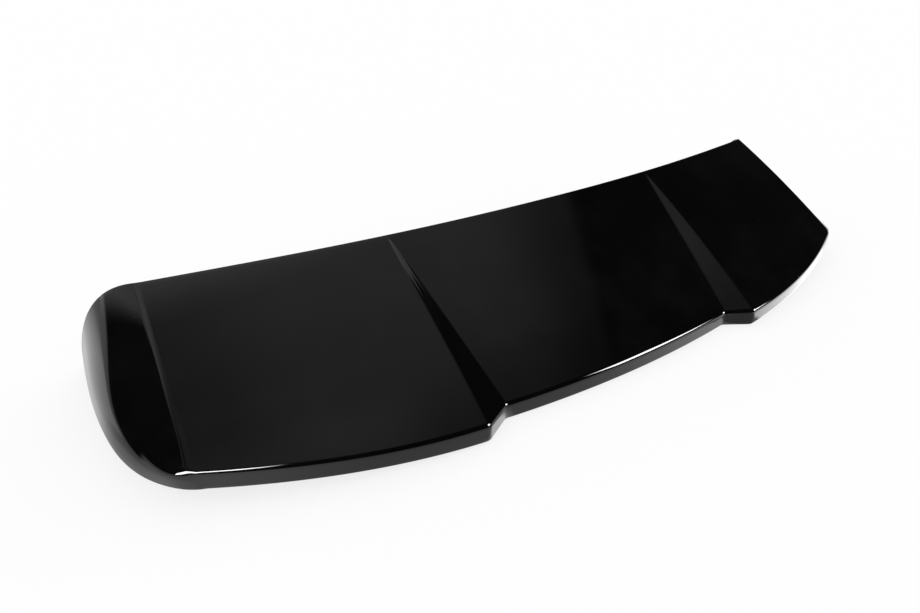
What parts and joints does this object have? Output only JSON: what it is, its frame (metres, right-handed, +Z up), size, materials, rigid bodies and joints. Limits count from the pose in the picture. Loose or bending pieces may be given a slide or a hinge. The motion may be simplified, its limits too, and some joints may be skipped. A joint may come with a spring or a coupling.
{
  "type": "car roof spoiler",
  "caption": "Thin gloss black roof spoiler for a car tailgate: bowed top sloping down to a low trailing band, recessed centre panel, wrap-round end cheeks, open underneath",
  "frame": {"origin": "middle of the floor area that the part covers, at floor height, with the part resting on the lower edges of its end cheeks and of its trailing band", "axes": "+X runs across the car along the longest extent, square to the plane of symmetry. +Y points forward to the roof edge. +Z is up. The part keeps the pose in which it lies on the floor, which is close to its pose on the car."},
  "size_m": [1.2924, 0.4425, 0.174],
  "materials": {
    "gloss_black": "gloss black paint over a moulded plastic shell, plain inner side"
  },
  "bodies": {
    "root": {"spoiler_shell": "gloss_black"}
  },
  "joints": []
}
